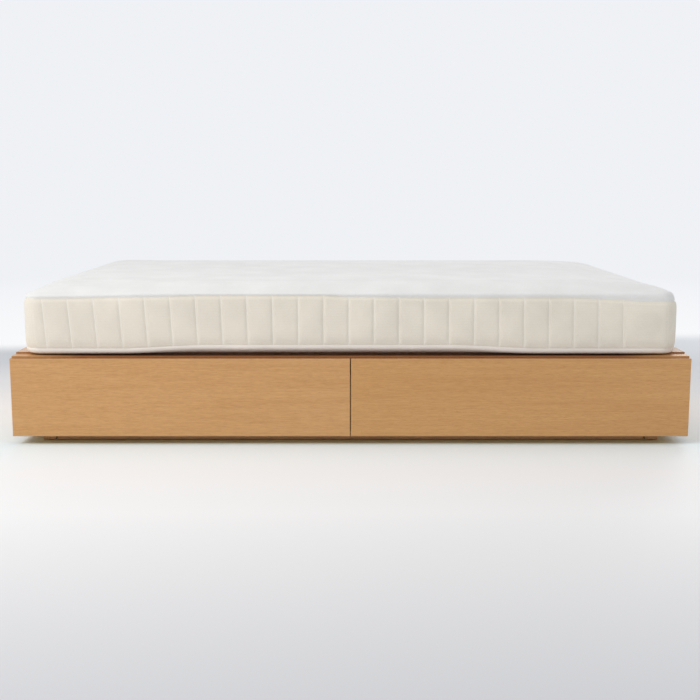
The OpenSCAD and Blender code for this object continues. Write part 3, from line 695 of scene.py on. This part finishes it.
# The right front's leaf of veneer is painted a shade deeper and warmer than the left one's, as
# painted shade on the right side, further from the key light
right_leaf_with_shade = ("#d3a269", "#c28e55", "#9a6935")
shaded_lipping = solid_oak("solid_oak_shaded_lipping", "X", (4.1, 0.7, 0.5))
finger_bevel, worn_edge = 0.009, 0.001
for side, outward, shift, leaf in (("left", -1, (0.2, 0.3, 0.15), oak_colours),
                                   ("right", 1, (5.3, 0.8, 0.62), right_leaf_with_shade)):
    low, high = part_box(side + "_drawer_front")
    bm = bmesh.new()
    grip = [e for e in block(bm, low, high)
            if all(v.co.y > high.y - 1e-5 and v.co.z < low.z + 1e-5 for v in e.verts)]
    bevel(bm, grip, finger_bevel, 1)
    bevel(bm, list(bm.edges), worn_edge, 3)
    # Solid oak lips the top, the bottom and the gap; veneer wraps round the outer end. Its dark
    # brown is partly the oak's own and partly painted shade in the gap between the fronts and along
    # their top
    for face in bm.faces:
        lipped = abs(face.normal.y) < 0.5 and face.normal.x * outward < 0.5
        face.material_index = 1 if lipped else 0
    piece(side + "_show_front", bm,
          [oak_veneer("oak_veneer_" + side + "_front", "X", shift, leaf), shaded_lipping],
          side + "_drawer", side + "_drawer_front")
    dress(pale_x, side + "_drawer_inner_front", side + "_drawer_back")
    dress(pale_y, side + "_drawer_sides", side + "_drawer_batten")
    dress(tray_ply, side + "_drawer_bottom")


# ------------------------------------------------------------------ slides
# Three-quarter roller slides: channels folded from 1.2 mm steel and enamelled off-white, with
# nylon rollers on riveted pins, held to the wood by flat-head screws.

def coated_steel(name, colour, deep, roughness, values):
    """Coated or plated sheet steel: an orange peel of 2 mm, and faint marks of handling."""
    material, shader, place = begin(name, colour, roughness, values)
    peel = add(material, "ShaderNodeTexNoise", {"Scale": 450.0, "Detail": 2.0}, {"Vector": place})
    wear = add(material, "ShaderNodeTexNoise", {"Scale": 35.0, "Detail": 5.0}, {"Vector": place})
    tint = add(material, "ShaderNodeValToRGB", links={"Fac": wear},
               stops=((0.3, deep), (0.65, colour)))
    gloss = add(material, "ShaderNodeMapRange", {"From Min": 0.3, "From Max": 0.7,
                "To Min": roughness - 0.08, "To Max": roughness + 0.12}, {"Value": wear})
    return finish(material, shader, tint, gloss, peel, 0.0001, 0.3)


# Baked enamel: off-white and half-gloss. Zinc plate: pale grey, with a soft metallic shine.
slide_enamel = coated_steel("baked_enamel_on_steel", "#e3e1da", "#d6d3ca", 0.35, {"IOR": 1.5})
zinc = coated_steel("zinc_plated_steel", "#c9c9c6", "#b2b2ae", 0.32, {"Metallic": 1.0})
# Nylon: milky white and slightly waxy. Rubber: dark grey and dull.
nylon = moulded("moulded_white_nylon", "#efece2", "#e6e2d6", 0.38, 0.0009, {"IOR": 1.53})
rubber = moulded("moulded_rubber", "#4b4a48", "#3b3a39", 0.7, 0.0007, {"IOR": 1.52})
for side in ("left", "right"):
    dress(slide_enamel, side + "_cabinet_runners", side + "_drawer_runners")
    dress(nylon, side + "_cabinet_rollers", side + "_drawer_rollers")
    dress(zinc, side + "_front_screws", side + "_runner_screws")
dress(zinc, "cabinet_screws", "corner_brackets", "bracket_screws")
dress(rubber, "front_bumpers")


# ------------------------------------------------------------------ room
# A plain pale studio floor that runs back into a white wall just behind the bed. A large soft
# light stands to the upper left, with weak ones above and to the right, in a white room.

def in_sight(owner):
    """1 on the rays by which the camera sees, also off metal or through glass, and 0 on light."""
    rays = add(owner, "ShaderNodeLightPath").outputs
    seen = add(owner, "ShaderNodeMath", operation="ADD",
               links={0: rays["Is Camera Ray"], 1: rays["Is Glossy Ray"]})
    return add(owner, "ShaderNodeMath", operation="ADD", use_clamp=True,
               links={0: seen, 1: rays["Is Transmission Ray"]})


# Matt floor paint: a pale neutral grey, hardly shiny. Far before and behind the bed it is painted
# a shade darker, as painted shade where less light reaches.
floor_colour = "#f5f5f6"
paint, shader, place = begin("painted_studio_floor", floor_colour, 0.6,
                             {"Specular IOR Level": 0.2})
axes = add(paint, "ShaderNodeSeparateXYZ", links={"Vector": place}).outputs
across = add(paint, "ShaderNodeMath", links={0: axes["X"]}, operation="ABSOLUTE")
# The floor's depth from 2.5 m before the bed's middle to 1.2 m behind it, as 0 to 1
run = add(paint, "ShaderNodeMapRange", {"From Min": -2.5, "From Max": 1.2}, {"Value": axes["Y"]})
# Painted shade: the tone darkens far before and behind the bed
tone = add(paint, "ShaderNodeValToRGB", links={"Fac": run}, stops=(
    (0.06, "#d5d6da"), (0.32, floor_colour), (0.66, floor_colour), (0.92, "#d2d5da")))
# At the foot of the drawers the floor is painted a shade cooler, to cancel the warm light off
# the oak, and under the box it is painted browner and darker, as painted shade of the box. Each
# tint has its run, and the distances from the middle where it starts to fade sideways and is gone
none, full = "#000000", "#ffffff"
for tint, reach, inner, outer in (
        ("#effafe", ((0.42, none), (0.51, full), (0.66, none)), 1.1, 1.6),
        ("#e3debf", ((0.506, none), (0.515, full), (0.82, full), (0.84, none)), 0.93, 1.0)):
    in_depth = add(paint, "ShaderNodeValToRGB", links={"Fac": run}, stops=reach)
    in_width = add(paint, "ShaderNodeMapRange", {"From Min": inner, "From Max": outer,
                   "To Min": 1.0, "To Max": 0.0}, {"Value": across})
    share = add(paint, "ShaderNodeMath", links={0: in_depth, 1: in_width}, operation="MULTIPLY")
    tone = add(paint, "ShaderNodeMix", {7: linear(tint)}, {"Factor": share, 6: tone},
               data_type="RGBA")
join(paint, shader, {"Base Color": tone})
# The camera sees the floor turn into a bright wall 0.7 to 1.1 m behind the bed, a little further
# back on the right, and all round it 3 to 5 m from its middle
wall_line = add(paint, "ShaderNodeMath", {1: -0.12}, {0: axes["X"], 2: axes["Y"]},
                operation="MULTIPLY_ADD")
behind = add(paint, "ShaderNodeMapRange", {"From Min": 1.33, "From Max": 1.71},
             {"Value": wall_line}, interpolation_type="SMOOTHSTEP")
distance = add(paint, "ShaderNodeVectorMath", links={0: place}, operation="LENGTH")
far_off = add(paint, "ShaderNodeMapRange", {"From Min": 3.0, "From Max": 5.0},
              {"Value": distance}, interpolation_type="SMOOTHSTEP")
wall_share = add(paint, "ShaderNodeMath", links={0: behind, 1: far_off}, operation="MAXIMUM")
wall_seen = add(paint, "ShaderNodeMath", links={0: in_sight(paint), 1: wall_share},
                operation="MULTIPLY")
wall_run = add(paint, "ShaderNodeMapRange", {"From Min": 1.2, "From Max": 6.0},
               {"Value": distance})
wall_colour = "#eff1f5"
wall_tone = add(paint, "ShaderNodeValToRGB", links={"Fac": wall_run},
                stops=((0.0, "#fbfcfd"), (1.0, wall_colour)))
wall = add(paint, "ShaderNodeEmission", {"Strength": 1.0}, {"Color": wall_tone})
surface = add(paint, "ShaderNodeMixShader", links={0: wall_seen, 1: shader, 2: wall})
join(paint, paint.node_tree.nodes["Material Output"], {"Surface": surface})

bm = bmesh.new()
bmesh.ops.create_grid(bm, x_segments=2, y_segments=2, size=14.0)
floor = thing_of("studio_floor", bm)
floor.data.materials.append(paint)

world = bpy.data.worlds.new("white_room")
bpy.context.scene.world = world
world.use_nodes = True
world.node_tree.nodes.clear()
fill = add(world, "ShaderNodeBackground", {"Color": linear("#f8f9fa"), "Strength": 0.58})
backdrop = add(world, "ShaderNodeBackground", {"Color": linear(wall_colour), "Strength": 1.0})
mix = add(world, "ShaderNodeMixShader", links={0: in_sight(world), 1: fill, 2: backdrop})
add(world, "ShaderNodeOutputWorld", links={"Surface": mix})


def lamp(name, at, aim, size, power, colour):
    """A square soft box that points at a place: metres and watts."""
    data = bpy.data.lights.new(name, "AREA")
    data.shape = "SQUARE"
    data.size = size
    data.energy = power
    data.color = linear(colour)[:3]
    thing = bpy.data.objects.new(name, data)
    thing.location = at
    thing.rotation_euler = (Vector(aim) - Vector(at)).to_track_quat("-Z", "Y").to_euler()
    bpy.context.scene.collection.objects.link(thing)


lamp("soft_key_upper_left", (-3.8, -2.9, 3.6), (-0.2, -0.2, 0.2), 2.2, 138, "#fffdfa")
lamp("soft_top", (0.2, -0.3, 3.4), (0.2, 0.0, 0.3), 2.6, 17, "#ffffff")
lamp("weak_fill_front_right", (3.4, -1.7, 0.8), (0.9, -0.5, 0.3), 1.2, 5, "#fffdfa")
lamp("weak_fill_rear_right", (2.7, 2.8, 1.5), (1.5, 0.9, 0.0), 1.2, 20, "#ffffff")


# ------------------------------------------------------------------ camera
# The photograph's own angle: at the middle of the long side, 0.77 m up, 3.2 m in front of the
# drawer fronts and tilted down a little.

lens = bpy.data.cameras.new("camera")
lens.sensor_width = 36.0
lens.lens = 56.34
camera = bpy.data.objects.new("camera", lens)
camera.location = (-0.00136, -3.8175, 0.7681)
camera.rotation_euler = (math.radians(81.43), 0.0, 0.0)
bpy.context.scene.collection.objects.link(camera)
bpy.context.scene.camera = camera
bpy.context.scene.view_settings.view_transform = "Standard"
